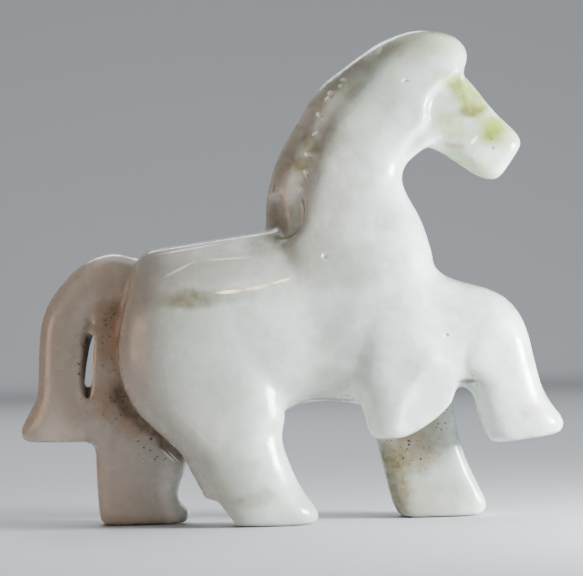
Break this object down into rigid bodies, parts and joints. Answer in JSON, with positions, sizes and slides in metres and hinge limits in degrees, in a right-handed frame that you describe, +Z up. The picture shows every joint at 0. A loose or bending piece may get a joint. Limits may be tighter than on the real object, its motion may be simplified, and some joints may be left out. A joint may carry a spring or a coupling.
{
  "type": "horse figurine",
  "caption": "Small polished jade horse, carved flat in the round, walking with its right foreleg raised and its tail joined to the left hind leg.",
  "frame": {"origin": "on the ground, under the middle of the carving's length and thickness", "axes": "+X the way the horse looks, +Y the horse's left side, through the thin slab, +Z up"},
  "size_m": [0.05, 0.0132, 0.045],
  "materials": {
    "jade": "polished translucent white nephrite with faint green, cream and brown stains"
  },
  "bodies": {
    "root": {"trunk": "jade", "neck": "jade", "mane": "jade", "poll": "jade", "face": "jade", "right_shoulder": "jade", "right_foreleg": "jade", "left_foreleg": "jade", "right_hind_leg": "jade", "left_hind_leg": "jade", "tail": "jade"}
  },
  "joints": []
}
